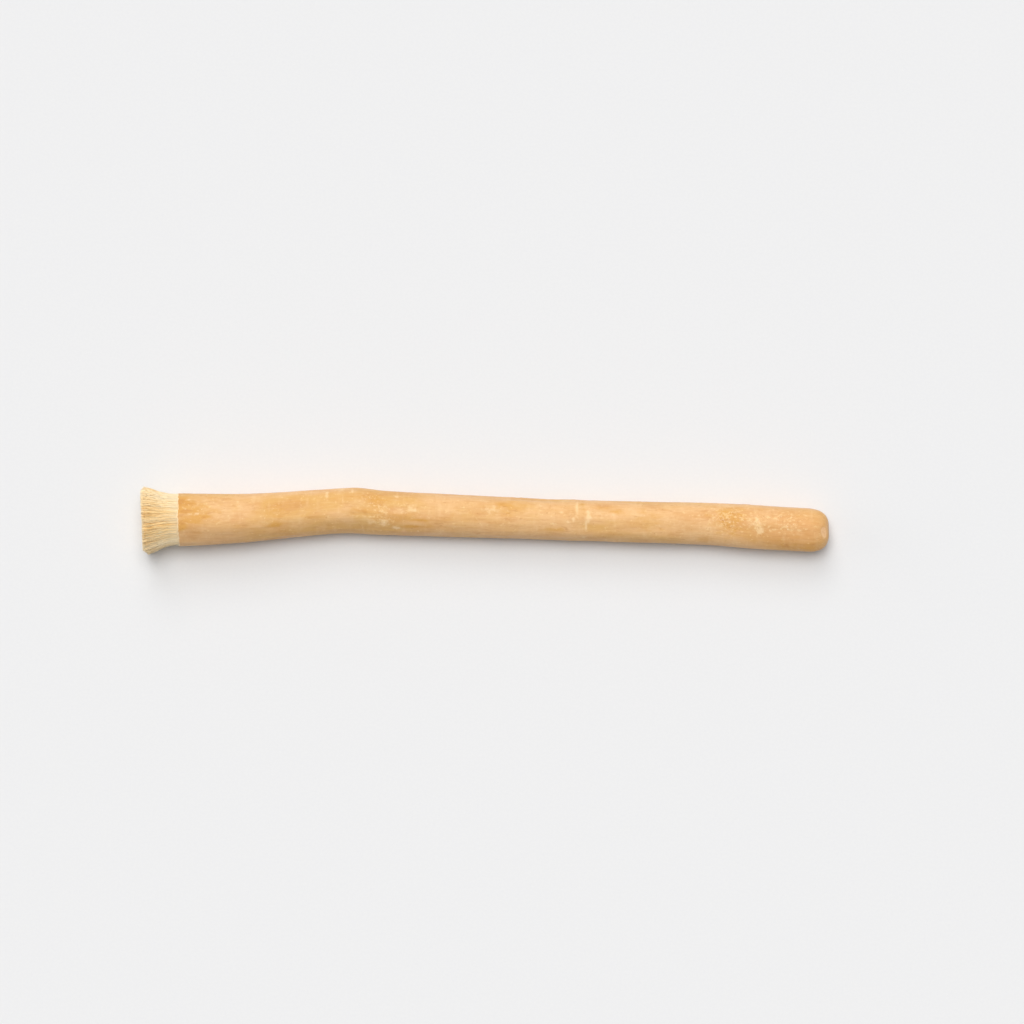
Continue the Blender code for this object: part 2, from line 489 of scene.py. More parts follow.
    def fan_out(self, root: Array, distance: Array) -> Array:
        """Where points of the cut wood have fanned out to in the brush.

        Args:
            root: Points of the cut face, one to a row.
            distance: How far in front of that face each one is.

        Returns:
            The points in the brush.
        """
        middle_z = self.centre(np.array(self.collar))[1]
        t = smooth(distance / self.collar)
        late = t ** self.fan_delay
        fan = 1 + (self.spread - 1) * late
        shift_y = (self.tip_sideways - self.wood_sideways) * late
        return np.stack(
            (
                root[..., 0] - distance,
                self.wood_sideways + shift_y + (root[..., 1] - self.wood_sideways) * fan,
                middle_z + (self.tip_height - middle_z) * t + (root[..., 2] - middle_z) * fan,
            ),
            axis=-1,
        )

    def settle(self, points: Array) -> Array:
        """Moves points from the root's own measure in mm into the frame in metres.

        Args:
            points: Points in mm, with the last axis x, y, z.

        Returns:
            The points in the frame, none of them under the floor.
        """
        plain_end = cad_box[1].x / MM
        moved = points - np.array((self.length - plain_end, self.middle_sideways, 0.0))
        moved[..., 2] = np.maximum(moved[..., 2], 0)
        return moved * MM


class MarkKind(Enum):
    """What a mark on the bark is, and so which value it is painted into."""

    PALE = "pale"
    HONEY = "honey"
    AMBER = "amber"
    BAND = "band"
    FLECKS = "flecks"
    WARM = "warm"
    CREASE = "crease"
    SCAR = "scar"


@dataclass(frozen=True)
class Mark:
    """A mark on the bark: what it is, its place in mm and degrees, its half sizes and strength."""

    kind: MarkKind
    along: float
    degrees: float
    half_length: float
    half_breadth: float
    strength: float

    def reach(self, along: Array, angle: Array, radius: Array) -> Array:
        """Squared distance from the mark's middle, where one is its edge.

        Args:
            along: Distances along the root.
            angle: Angles around it.
            radius: The root's half width there.

        Returns:
            The squared distance at each place, in half sizes of the mark.
        """
        around = apart(angle, math.radians(self.degrees)) * radius
        return ((along - self.along) / self.half_length) ** 2 + (around / self.half_breadth) ** 2


# The marks that show from above, from the collar to the plain end: for each one its place along
# and around in mm and degrees, its half length and half breadth in mm, and its strength
SEEN_MARKS: dict[MarkKind, tuple[tuple[float, ...], ...]] = {
    MarkKind.PALE: (
        (10.8, 40, 0.7, 0.45, 0.9),
        (10.9, 78, 1.8, 0.40, 0.55),
        (12.7, 77, 0.6, 0.35, 0.6),
        (9.3, 87, 0.8, 0.35, 0.7),
        (43.6, 18, 1.5, 1.2, 0.8),
        (46.2, 35, 0.4, 1.2, 0.7),
        (48.6, 103, 2.8, 0.22, 0.6),
        (50.3, 116, 1.7, 0.8, 0.75),
        (53.2, 118, 1.1, 0.9, 1.3),
        (55.7, 133, 0.8, 0.55, 1.6),
        (55.9, 42, 0.7, 0.6, 0.8),
        (59.2, 79, 1.6, 0.90, 1.05),
        (64.0, 22, 3.2, 1.2, 0.4),
        (76.0, 70, 2.4, 1.4, 0.6),
        (91.6, 70, 0.8, 0.4, 0.7),
        (93.2, 96, 0.5, 0.4, 0.8),
        (94.3, 87, 0.4, 0.6, 1.0),
        (100.5, 84, 6.0, 2.0, 0.35),
        (117.0, 95, 2.2, 1.4, 0.5),
        (134.2, 78, 1.4, 1.9, 0.85),
        (134.9, 102, 0.8, 0.6, 1.3),
    ),
    MarkKind.HONEY: (
        (14.0, 132, 9.0, 3.4, 1.3),
        (56.0, 84, 2.0, 0.7, 1.2),
        (57.5, 150, 0.7, 1.2, 1.0),
        (64.5, 50, 4.2, 1.6, 1.0),
        (127.6, 121, 2.8, 0.5, 1.2),
        (130.0, 143, 3.4, 1.6, 1.2),
    ),
    MarkKind.AMBER: (
        (11.0, 84, 6.0, 3.4, 0.45),
        (141.0, 88, 12.0, 6.0, 0.9),
    ),
    MarkKind.BAND: (
        (40.7, 42, 0.6, 1.8, 0.8),
        (44.2, 64, 0.35, 1.4, 0.6),
        (95.0, 48, 0.46, 2.0, 1.0),
        (97.5, 78, 0.50, 1.4, 1.1),
        (97.0, 110, 0.32, 1.5, 0.9),
    ),
    MarkKind.FLECKS: (
        (13.0, 60, 3.4, 1.6, 0.45),
        (50.3, 60, 2.2, 1.8, 0.8),
        (52.4, 86, 1.1, 1.4, 1.0),
        (53.4, 114, 2.6, 1.6, 1.0),
        (57.4, 82, 3.0, 1.3, 0.7),
        (60.4, 142, 0.35, 0.35, 1.4),
        (63.4, 152, 1.0, 0.5, 1.2),
        (80.0, 100, 2.0, 1.6, 0.6),
        (87.0, 66, 0.5, 2.0, 0.8),
        (89.2, 78, 0.5, 0.5, 0.9),
        (89.9, 104, 0.5, 0.5, 1.7),
        (96.4, 143, 0.7, 0.5, 1.2),
        (101.3, 114, 0.5, 0.5, 1.2),
        (101.2, 144, 0.6, 0.4, 1.1),
        (127.8, 70, 4.6, 3.4, 1.15),
        (134.2, 84, 1.8, 2.4, 0.8),
        (137.0, 97, 0.5, 0.4, 1.4),
        (140.2, 62, 4.6, 2.2, 0.95),
        (140.8, 90, 3.0, 0.8, 0.8),
    ),
    MarkKind.WARM: (
        (13.0, 66, 5.0, 2.6, 0.50),
        (9.2, 50, 2.4, 1.6, 1.3),
        (8.7, 45, 1.0, 0.58, 1.4),
        (10.1, 71, 2.0, 0.40, 1.4),
        (13.5, 84, 2.0, 0.40, 1.2),
        (11.4, 93, 1.7, 0.46, 1.3),
        (8.8, 104, 1.4, 1.25, 1.3),
        (30.0, 80, 5.0, 1.8, 0.5),
        (29.5, 113, 1.8, 0.6, 0.9),
        (50.2, 46, 4.0, 2.8, 0.55),
        (51.5, 66, 1.6, 1.4, 0.4),
        (47.6, 91, 3.2, 0.6, 0.45),
        (60.0, 126, 3.8, 0.5, 0.9),
        (61.0, 106, 3.0, 0.4, 0.6),
        (80.0, 60, 3.4, 1.8, 0.7),
        (90.2, 121, 2.6, 0.6, 0.9),
        (96.3, 40, 0.6, 1.5, 0.6),
        (100.2, 44, 2.4, 1.0, 0.45),
        (103.8, 60, 1.8, 1.0, 0.45),
        (111.0, 80, 3.0, 2.0, 0.4),
        (128.6, 72, 4.0, 3.4, 0.85),
        (141.0, 144, 4.6, 1.3, 0.5),
        (146.4, 148, 2.0, 1.5, 0.8),
    ),
    MarkKind.CREASE: (
        (49.4, 98, 4.5, 0.16, 0.8),
        (56.2, 101, 3.0, 0.12, 0.5),
        (66.6, 108, 2.6, 0.12, 0.6),
        (95.8, 105, 1.1, 0.10, 0.5),
    ),
    MarkKind.SCAR: (
        (97.9, 52, 0.24, 0.24, 0.5),
        (147.4, 114, 0.30, 0.18, 0.6),
    ),
}


@dataclass(frozen=True)
class HiddenMarks:
    """Marks of the same kinds for the sides that can't be seen from above, spread by chance."""

    # How many there are of each kind, and their half length and half breadth in mm
    kinds: tuple[tuple[MarkKind, int, float, float], ...] = (
        (MarkKind.PALE, 12, 1.8, 1.2),
        (MarkKind.BAND, 8, 0.5, 2.2),
        (MarkKind.FLECKS, 12, 1.8, 1.5),
        (MarkKind.WARM, 9, 2.6, 1.3),
        (MarkKind.CREASE, 6, 3.2, 0.15),
        (MarkKind.SCAR, 6, 0.55, 0.5),
    )
    from_collar: float = 2.0
    from_end: float = 4.0
    # Between what each one's place in its share of the root, size, angle and strength are drawn
    places: tuple[float, float] = (0.1, 0.9)
    sizes: tuple[float, float] = (0.7, 1.3)
    degrees: tuple[float, float] = (168, 372)
    strengths: tuple[float, float] = (0.5, 1.0)

    def spread(self, form: RootForm, rng: random.Random) -> list[Mark]:
        """Spreads the marks evenly along the root.

        Args:
            form: The root.
            rng: The source of chance.

        Returns:
            The marks.
        """
        start, stop = form.collar + self.from_collar, form.length - self.from_end
        marks = []
        for kind, count, half_length, half_breadth in self.kinds:
            for i in range(count):
                along = start + (stop - start) * (i + rng.uniform(*self.places)) / count
                size = rng.uniform(*self.sizes)
                degrees = rng.uniform(*self.degrees)
                half_sizes = (half_length * size, half_breadth * size)
                marks.append(Mark(kind, along, degrees, *half_sizes, rng.uniform(*self.strengths)))
        return marks


@dataclass(frozen=True)
class DriedRootBark:
    """Thin cork over dried inner bark, washed and rubbed smooth: dull, honey tan and streaky."""

    honey: str = "#E8B880"
    ochre: str = "#DFAD66"
    tan: str = "#DFA66A"
    amber: str = "#D79D5E"
    gold: str = "#DBA253"
    cream: str = "#F4D09C"
    rust: str = "#C28042"
    umber: str = "#7E5129"
    inner_bark: str = "#F8E0B6"
    fleck: str = "#F6D49A"
    cut_bark: str = "#F5C894"
    cut_line: str = "#E9B484"
    ior: float = 1.46
    shine: float = 0.32
    # The thinner, blotched cork is a little duller than the rest
    roughness: tuple[float, float] = (0.51, 0.67)
    roughness_band: tuple[float, float] = (0.3, 0.7)
    # Worn cork has a fine fuzz, which looks whitish where the bark turns away
    fuzz: float = 0.14
    fuzz_roughness: float = 0.5
    blotch: Pattern = Pattern(0.24, 5.0)
    # Cork cells stretch with the root as it grows, so most marks are far longer than wide
    streak: Pattern = Pattern(2.4, 2.0, along=0.10)
    # Hair lines, pores and drying cracks
    reliefs: tuple[Relief, ...] = (
        Relief(Pattern(4.5, 4.0, along=0.10), 0.60, 0.06),
        Relief(Pattern(3.4, 5.0), 0.55, 0.06),
        Relief(Pattern(2.2, 2.0, around=0.20), 0.30, 0.05),
    )

    @property
    def cork(self) -> tuple[Layer, ...]:
        """The ground colours of the cork.

        Returns:
            Their layers, the lowest first.
        """
        return (
            # The tint changes slowly along the root, from pinkish tan to ochre
            Layer(self.ochre, (0.38, 0.62), 1.0, Pattern(0.15, 3.0, along=0.40)),
            Layer(self.honey, (0.05, 0.9), 0.95, painted="honey"),
            Layer(self.tan, (0.05, 0.9), 0.85, painted="amber"),
            # Uneven tanning, in patches about 3 mm across and twice as long
            Layer(self.amber, (0.44, 0.70), 0.55, Pattern(0.34, 4.0, along=0.45)),
            # Blotches about 4 mm across, where the cork is thinner
            Layer(self.cream, (0.50, 0.74), 0.32, self.blotch),
            # Fibre streaks 0.4 mm wide, both darker and paler than the ground
            Layer(self.rust, (0.54, 0.76), 0.22, self.streak),
            Layer(self.cream, (0.46, 0.26), 0.22, self.streak),
            # Hair cracks with a little dirt in them, drawn 0.15 mm wide; the real ones are finer
            Layer(self.rust, (0.60, 0.76), 0.30, Pattern(6.5, 1.0, along=0.07)),
            # Growth and drying leave faint, paler rings across the root, 1 mm apart
            Layer(self.cream, (0.54, 0.74), 0.22, Pattern(0.85, 3.0, around=0.20)),
        )

    @property
    def marks(self) -> tuple[Layer, ...]:
        """The painted marks, whose edges are broken by their patterns.

        Returns:
            Their layers, the lowest first.
        """
        return (
            # Riper cork is golden
            Layer(self.gold, (0.50, 1.05), 0.95, Pattern(0.9, 4.0, along=0.45), "warm", 0.60),
            # Wisps of darker cork, 0.6 mm wide, that wave a little as the fibres under them do
            Layer(self.rust, (0.58, 0.78), 0.42, Pattern(1.2, 4.0, along=0.3, wave=0.8), "warm", 0.12),
            # Rubbed places, with ragged edges of about 0.5 mm
            Layer(self.cream, (0.64, 1.12), 0.80, Pattern(1.1, 4.0), "pale", 0.55),
            # Loose cork scales 0.4 mm across, yellow on the golden ground, some paler and some dark
            Layer(self.fleck, (0.58, 0.76), 0.52, Pattern(1.9, 3.0, along=0.7), "flecks", 0.12),
            Layer(self.inner_bark, (0.71, 0.82), 0.55, Pattern(2.6, 3.0), "flecks", 0.13),
            Layer(self.rust, (0.33, 0.22), 0.50, Pattern(1.9, 2.0), "flecks", -0.07),
            # Painted shade darkens the hollows of the wrinkles and creases, and painted light makes the high
            # places paler
            Layer(self.rust, (0.15, 1.2), 0.26, painted="painted_relief_shading"),
            Layer(self.cream, (-0.15, -1.2), 0.14, painted="painted_relief_shading"),
            # Old scars are dark, and the edge where the bark was cut is pale
            Layer(self.umber, (0.35, 0.95), 0.78, painted="scar"),
            Layer(self.inner_bark, (0.15, 0.75), 0.92, painted="cut"),
        )

    def build(self) -> bpy.types.Material:
        """Makes the material.

        Returns:
            The material.
        """
        finish = Finish("dried root bark")
        colour = finish.build_up(linear(self.honey), (*self.cork, *self.marks))
        # The knife cut on the plain end shows the inner bark along its fibres, rosy and flat
        fibres = Layer(self.cut_line, (0.40, 0.68), 0.9, Pattern(3.2, 3.0, along=0.10))
        wood = finish.build_up(linear(self.cut_bark), (fibres,))
        colour = finish.build_up(colour, (Layer(wood, (0.05, 0.95), 0.86, painted="facet"),))
        (start, stop), (low, high) = self.roughness_band, self.roughness
        inputs = {0: finish.read_pattern(self.blotch), 1: start, 2: stop, 3: low, 4: high}
        rough = finish.add_node("MapRange", inputs).outputs[0]
        return finish.coat({
            "Base Color": colour,
            "Roughness": rough,
            "Normal": finish.emboss(self.reliefs),
            "IOR": self.ior,
            "Specular IOR Level": self.shine,
            "Metallic": 0.0,
            "Sheen Weight": self.fuzz,
            "Sheen Roughness": self.fuzz_roughness,
        })


@dataclass(frozen=True)
class BareRootFibre:
    """Fibre bundles of the root with the bark peeled off, crushed apart and dried: cream and matt."""

    cream: str = "#F9DFAE"
    straw: str = "#F4D08F"
    gold: str = "#DE9F4A"
    bleached: str = "#F5E3BF"
    roughness: float = 0.62
    ior: float = 1.47
    # A bundle's tone changes slowly along it
    change: Pattern = Pattern(0.5, 2.0, roughness=0.5)
    change_share: float = 0.5
    # Handled most near the tips, the bundles are a little more golden there
    handled: float = 0.16
    handled_band: tuple[float, float] = (0.25, 0.75)
    threads: Relief = Relief(Pattern(14.0, 2.0, roughness=0.5), 0.35, 0.03)

    def build(self) -> bpy.types.Material:
        """Makes the material.

        Returns:
            The material.
        """
        finish = Finish("bare root fibre")
        tone = finish.add_node("Attribute", attribute_name="tone").outputs["Fac"]
        reach = finish.add_node("Attribute", attribute_name="reach").outputs["Fac"]
        inputs = {0: finish.read_pattern(self.change), 1: self.change_share, 2: tone}
        shade = finish.add_node("Math", inputs, operation="MULTIPLY_ADD").outputs[0]
        start, stop = self.handled_band
        inputs = {0: reach, 1: start, 2: stop, 3: 0.0, 4: self.handled}
        handled = finish.add_node("MapRange", inputs).outputs[0]
        shade = finish.add_node("Math", {0: shade, 1: handled}, operation="ADD").outputs[0]
        # Each bundle is one tone, from near white to gold. The first two millimetres dried under the bark's
        # edge, so they are whiter.
        # The tips' ends are frayed whiter, and are also made paler as painted light on the brush's face,
        # which lies in shade
        colour = linear(self.bleached)
        for over, value, band, most in (
            (self.cream, shade, (0.05, 0.45), 1.0),
            (self.straw, shade, (0.45, 0.80), 1.0),
            (self.gold, shade, (0.80, 1.15), 0.85),
            (self.bleached, reach, (0.30, 0.08), 0.45),
            (self.bleached, reach, (0.95, 1.0), 0.75),
        ):
            colour = finish.lay(colour, linear(over), value, band, most, Easing.EVEN)
        return finish.coat({
            "Base Color": colour,
            "Roughness": self.roughness,
            "Normal": finish.emboss((self.threads,)),
            "IOR": self.ior,
        })


@dataclass(frozen=True)
class MattPaper:
    """Heavy uncoated paper that the stick lies on: near white, matt, with a faint tooth."""

    sheet: str = "#E6E6E6"
    shade: str = "#E2E2E3"
    tooth: float = 0.6
    tooth_detail: float = 2.0
    roughness: float = 0.9

    def build(self) -> bpy.types.Material:
        """Makes the material.

        Returns:
            The material.
        """
        finish = Finish("matt white paper")
        place = finish.add_node("TexCoord").outputs["Object"]
        inputs = {"Vector": place, "Scale": 1 / (self.tooth * MM), "Detail": self.tooth_detail}
        fibre = finish.add_node("TexNoise", inputs).outputs[0]
        inputs = {0: fibre, 6: linear(self.sheet), 7: linear(self.shade)}
        colour = finish.add_node("Mix", inputs, data_type="RGBA").outputs[2]
        return finish.coat({"Base Color": colour, "Roughness": self.roughness})


def make_piece(
    name: str, points: Array, faces: list, material: bpy.types.Material, values: dict[str, Array]
) -> bpy.types.Object:
    """Turns points and faces into a smooth mesh piece with its painted values.

    Args:
        name: The piece's name.
        points: Points in the frame, one to a row.
        faces: The vertex numbers of each face.
        material: The piece's finish.
        values: Painted values by name: one number, or three for a vector, for each point.

    Returns:
        The piece, linked to the scene.
    """
    mesh = bpy.data.meshes.new(name)
    mesh.from_pydata(points.tolist(), [], faces)
    for value_name, value in values.items():
        is_vector = value.ndim == 2
        kind = "FLOAT_VECTOR" if is_vector else "FLOAT"
        attribute = mesh.attributes.new(value_name, kind, "POINT")
        attribute.data.foreach_set("vector" if is_vector else "value", value.ravel().tolist())
    mesh.shade_smooth()
    mesh.materials.append(material)
    piece = bpy.data.objects.new(name, mesh)
    bpy.context.scene.collection.objects.link(piece)
    return piece


@dataclass
class Bark:
    """The root in its bark, from the knife cut around the collar to the rounded plain end, in mm."""

    form: RootForm
    hidden_marks: HiddenMarks = HiddenMarks()
    columns: int = 172
    ring_spacing: float = 0.28
    seed: int = 7
    # The cut edge in outline, from inside the root out to the skin: how far back each place is, and
    # its depth as a share of the bark's step; a smaller ring closes the inside
    edge_outline: tuple[tuple[float, float], ...] = (
        (0.60, 1.5),
        (0.10, 1.1875),
        (0.01, 1.0),
        (0.0, 0.62),
        (0.02, 0.28),
        (0.07, 0.08),
    )
    inside_ring: float = 0.5
    close_rings: tuple[float, ...] = (0.14, 0.24, 0.38, 0.56, 0.78)
    even_rings_from: float = 1.0
    # How far back the edge's lean is felt, and how far its pale rim reaches
    edge_reach: float = 3.0
    pale_edge: float = 0.22
    # The edge's tears: their size, how far back they reach, and their waves to the mm around an edge
    # of this radius, with the height and shift of each
    edge_ragged: float = 0.40
    tear_reach: float = 0.5
    edge_radius: float = 5.6
    tears: tuple[tuple[float, float, float], ...] = ((0.75, 1.0, 3.7), (2.6, 0.6, 9.2))
    # The blunt plain end, where the skin is smoother and the rim a little uneven
    end_taper: float = 5.6
    end_rings: int = 44
    end_crowding: float = 1.3
    end_last_turn: float = 0.985
    end_power: float = 2 / 3
    end_smoothing: float = 0.5
    end_uneven: float = 0.4
    end_lobes: int = 3
    end_turn: float = 1.0
    # The knife cut on its shoulder; the knife dragged a little, which leaves faint steps along the cut
    cut_facing: tuple[float, float, float] = (0.64, -0.07, 0.76)
    cut_depth: float = 0.15
    cut_wave: float = 0.035
    cut_waves_per_mm: float = 0.8
    cut_shift: float = 31.0
    cut_edge: float = 0.10
    drag_height: float = 0.012
    drag_per_mm: float = 5.0
    # Wrinkles and lumps of the skin: waves to the mm along and around the root, and their height
    wrinkles: tuple[tuple[float, float, float], ...] = (
        (0.16, 0.16, 0.060),
        (0.055, 0.42, 0.085),
        (0.11, 0.95, 0.050),
        (0.22, 1.90, 0.022),
        (1.10, 0.13, 0.022),
        (0.55, 0.60, 0.020),
    )
    wrinkle_shift: float = 17.3
    # How deep a hollow is at full painted shade, and the most of that painted shading either way
    shading_depth: float = 0.11
    shading_most: float = 1.5
    # The marks' own relief; the fine grain roughens flecks and bands
    grain_per_mm: float = 2.4
    grain_shift: float = 5.1
    band_height: float = 0.050
    band_even: float = 0.7
    band_grain: float = 0.6
    fleck_height: float = 0.045
    crease_depth: float = 0.07
    scar_depth: float = 0.22
    scar_rim: float = 0.09
    rim_reach: float = 1.5
    rim_spread: float = 0.18
    rim_pale: float = 0.9
    values: dict[str, Array] = field(default_factory=dict)

    def profile(self) -> list[tuple[float, float, float, float]]:
        """The rings of the mesh, from the middle of the collar's inside to the plain end's pole.

        Returns:
            For each ring: its distance along, its share of the full radius, its lift off that
            radius and its step through the end's dome.
        """
        collar, skin = self.form.collar, self.form.bark_step
        rings = [(collar + self.edge_outline[0][0], self.inside_ring, 0.0, 0.0)]
        rings += [(collar + back, 1.0, -skin * depth, 0.0) for back, depth in self.edge_outline]
        start, stop = collar + self.even_rings_from, self.form.length - self.end_taper
        count = round((stop - start) / self.ring_spacing)
        places = [collar + back for back in self.close_rings]
        places += [start + (stop - start) * i / count for i in range(count + 1)]
        rings += [(along, 1.0, 0.0, 0.0) for along in places]
        for i in range(1, self.end_rings + 1):
            step = (i / self.end_rings) ** self.end_crowding
            turn = math.pi / 2 * self.end_last_turn * step
            along = self.form.length - self.end_taper * (1 - math.sin(turn) ** self.end_power)
            rings.append((along, math.cos(turn) ** self.end_power, 0.0, step))
        return rings

    def skin(self, along: Array, angle: Array, marks: list[Mark]) -> Array:
        """Works out the skin's own relief and paints the values that the bark's finish reads.

        Args:
            along: Distances along the root, for each ring and column.
            angle: Angles around it.
            marks: The marks on the bark.

        Returns:
            The height of the skin over the form at each place.
        """
        radius = self.form.half_width(along)
        places = on_tube(along, radius, angle).reshape(-1, 3)
        height = np.zeros(along.shape)
        for i, (lengthwise, around, tall) in enumerate(self.wrinkles):
            layer = perlin(places, (lengthwise, around, around), self.wrinkle_shift * (i + 1))
            height += tall * layer.reshape(along.shape)
        grain = perlin(places, (self.grain_per_mm,) * 3, self.grain_shift).reshape(along.shape)
        for name in ("pale", "honey", "amber", "flecks", "warm", "scar"):
            self.values[name] = np.zeros(along.shape)
        wrinkle = height.copy()
        for mark in marks:
            reach = mark.reach(along, angle, radius)
            bell = mark.strength * np.exp(-reach)
            match mark.kind:
                case MarkKind.PALE | MarkKind.HONEY | MarkKind.AMBER | MarkKind.WARM:
                    self.values[mark.kind.value] += bell
                case MarkKind.BAND:
                    self.values["pale"] += bell
                    height += self.band_height * bell * (self.band_even + self.band_grain * grain)
                case MarkKind.FLECKS:
                    self.values["flecks"] += bell
                    height += self.fleck_height * bell * grain
                case MarkKind.CREASE:
                    height -= self.crease_depth * bell
                    wrinkle -= self.crease_depth * bell
                case MarkKind.SCAR:
                    self.values["scar"] += bell
                    off_rim = np.sqrt(reach) - self.rim_reach
                    rim = mark.strength * np.exp(-(off_rim ** 2) / self.rim_spread)
                    height += self.scar_rim * rim - self.scar_depth * bell
                    self.values["pale"] += self.rim_pale * rim
        # Painted shade in the hollows of the wrinkles and creases, and painted light on the high places
        self.values["painted_relief_shading"] = np.clip(-wrinkle / self.shading_depth, -self.shading_most, self.shading_most)
        return height

    def grid(self) -> tuple[Array, Array]:
        """Places every vertex of the rings, in the root's own measure.

        Returns:
            The points, by ring and column, and the straightened coordinates that patterns use.
        """
        base, share, lift, step = (column[:, None] for column in np.array(self.profile()).T)
        along, angle = np.broadcast_arrays(base, np.arange(self.columns) * math.tau / self.columns)

        marks = [Mark(kind, *sizes) for kind, rows in SEEN_MARKS.items() for sizes in rows]
        marks += self.hidden_marks.spread(self.form, random.Random(self.seed))
        skin = self.skin(along, angle, marks) * (1 - self.end_smoothing * step)
        sideways, middle = self.form.centre(along)
        radius = (self.form.half_width(along) + self.form.relief(along, angle) + skin) * share + lift

        from_edge = along - self.form.collar
        around = on_tube(0.0, self.edge_radius, angle).reshape(-1, 3)
        torn = sum(tall * perlin(around, (0.0, waves, waves), shift) for waves, tall, shift in self.tears)
        ragged = self.edge_ragged * torn.reshape(angle.shape) * np.exp(-from_edge / self.tear_reach)
        uneven = self.end_uneven * np.sin(self.end_lobes * angle + self.end_turn) * step * (1 - step)
        x = along + self.form.cut_line(angle) * np.exp(-from_edge / self.edge_reach) + ragged + uneven
        points = on_tube(x, radius, angle, self.form.depth_to_width)
        points[..., 1] += sideways
        points[..., 2] += middle
        self.values["cut"] = np.exp(-((from_edge / self.pale_edge) ** 2))
        return self.cut_shoulder(points, step), on_tube(along, radius, angle)

    def cut_shoulder(self, points: Array, step: Array) -> Array:
        """Takes a flat slice off the dome's shoulder, and paints where the knife has passed.

        Args:
            points: The points of the whole root.
            step: Each ring's step through the end's dome.

        Returns:
            The points, with none of the dome in front of the cut.
        """
        facing = np.array(self.cut_facing)
        facing /= np.linalg.norm(facing)
        level = points @ facing
        waves = perlin(points.reshape(-1, 3), (self.cut_waves_per_mm,) * 3, self.cut_shift)
        cut_level = level.max() - self.cut_depth
        over = np.clip(level - cut_level + self.cut_wave * waves.reshape(level.shape), 0, None)
        self.values["facet"] = np.clip(over / self.cut_edge, 0, 1)
        drag = self.drag_height * np.sin(points[..., 1] * self.drag_per_mm) * self.values["facet"]
        return points - (over + drag)[..., None] * facing * (step > 0)[..., None]

    def build(self, bark: bpy.types.Material) -> bpy.types.Object:
        """Builds and dresses the piece.

        Args:
            bark: The finish of the skin.

        Returns:
            The piece.
        """
        points, straight = self.grid()
        faces = tube_faces(*points.shape[:2])
        values = {name: with_middles(value) for name, value in self.values.items()}
        values["grain"] = with_middles(straight)
        piece = make_piece("bark", self.form.settle(with_middles(points)), faces, bark, values)
        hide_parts(NODE)
        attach(piece, BODY)
        return piece


@dataclass(frozen=True)
class FibreKind:
    """One sort of fibre in the brush, in mm: where it grows, how its tube is made and its tone.

    The ring that it grows in is given in shares of the wood's radius. Spread_out is how far it
    wanders outwards for what it wanders sideways, and painted_cover_shading is what its tone gains where
    other fibres cover it:
    painted shade, more golden, for the outer fibres, and painted light, paler, for the core and inner fibres,
    whose ends make the brush's shaded face.
    """

    name: str
    count: int
    inner: float
    outer: float
    thin: float
    thick: float
    sides: int
    steps: int
    wander: float
    crimp: float
    spread_out: float = 0.35
    painted_cover_shading: float = 0.50


@dataclass
class FibreLines:
    """The middle lines and radii of many fibres, by fibre and step, with the tone of each one."""

    line: Array
    radius: Array
    tone: Array
    share: Array


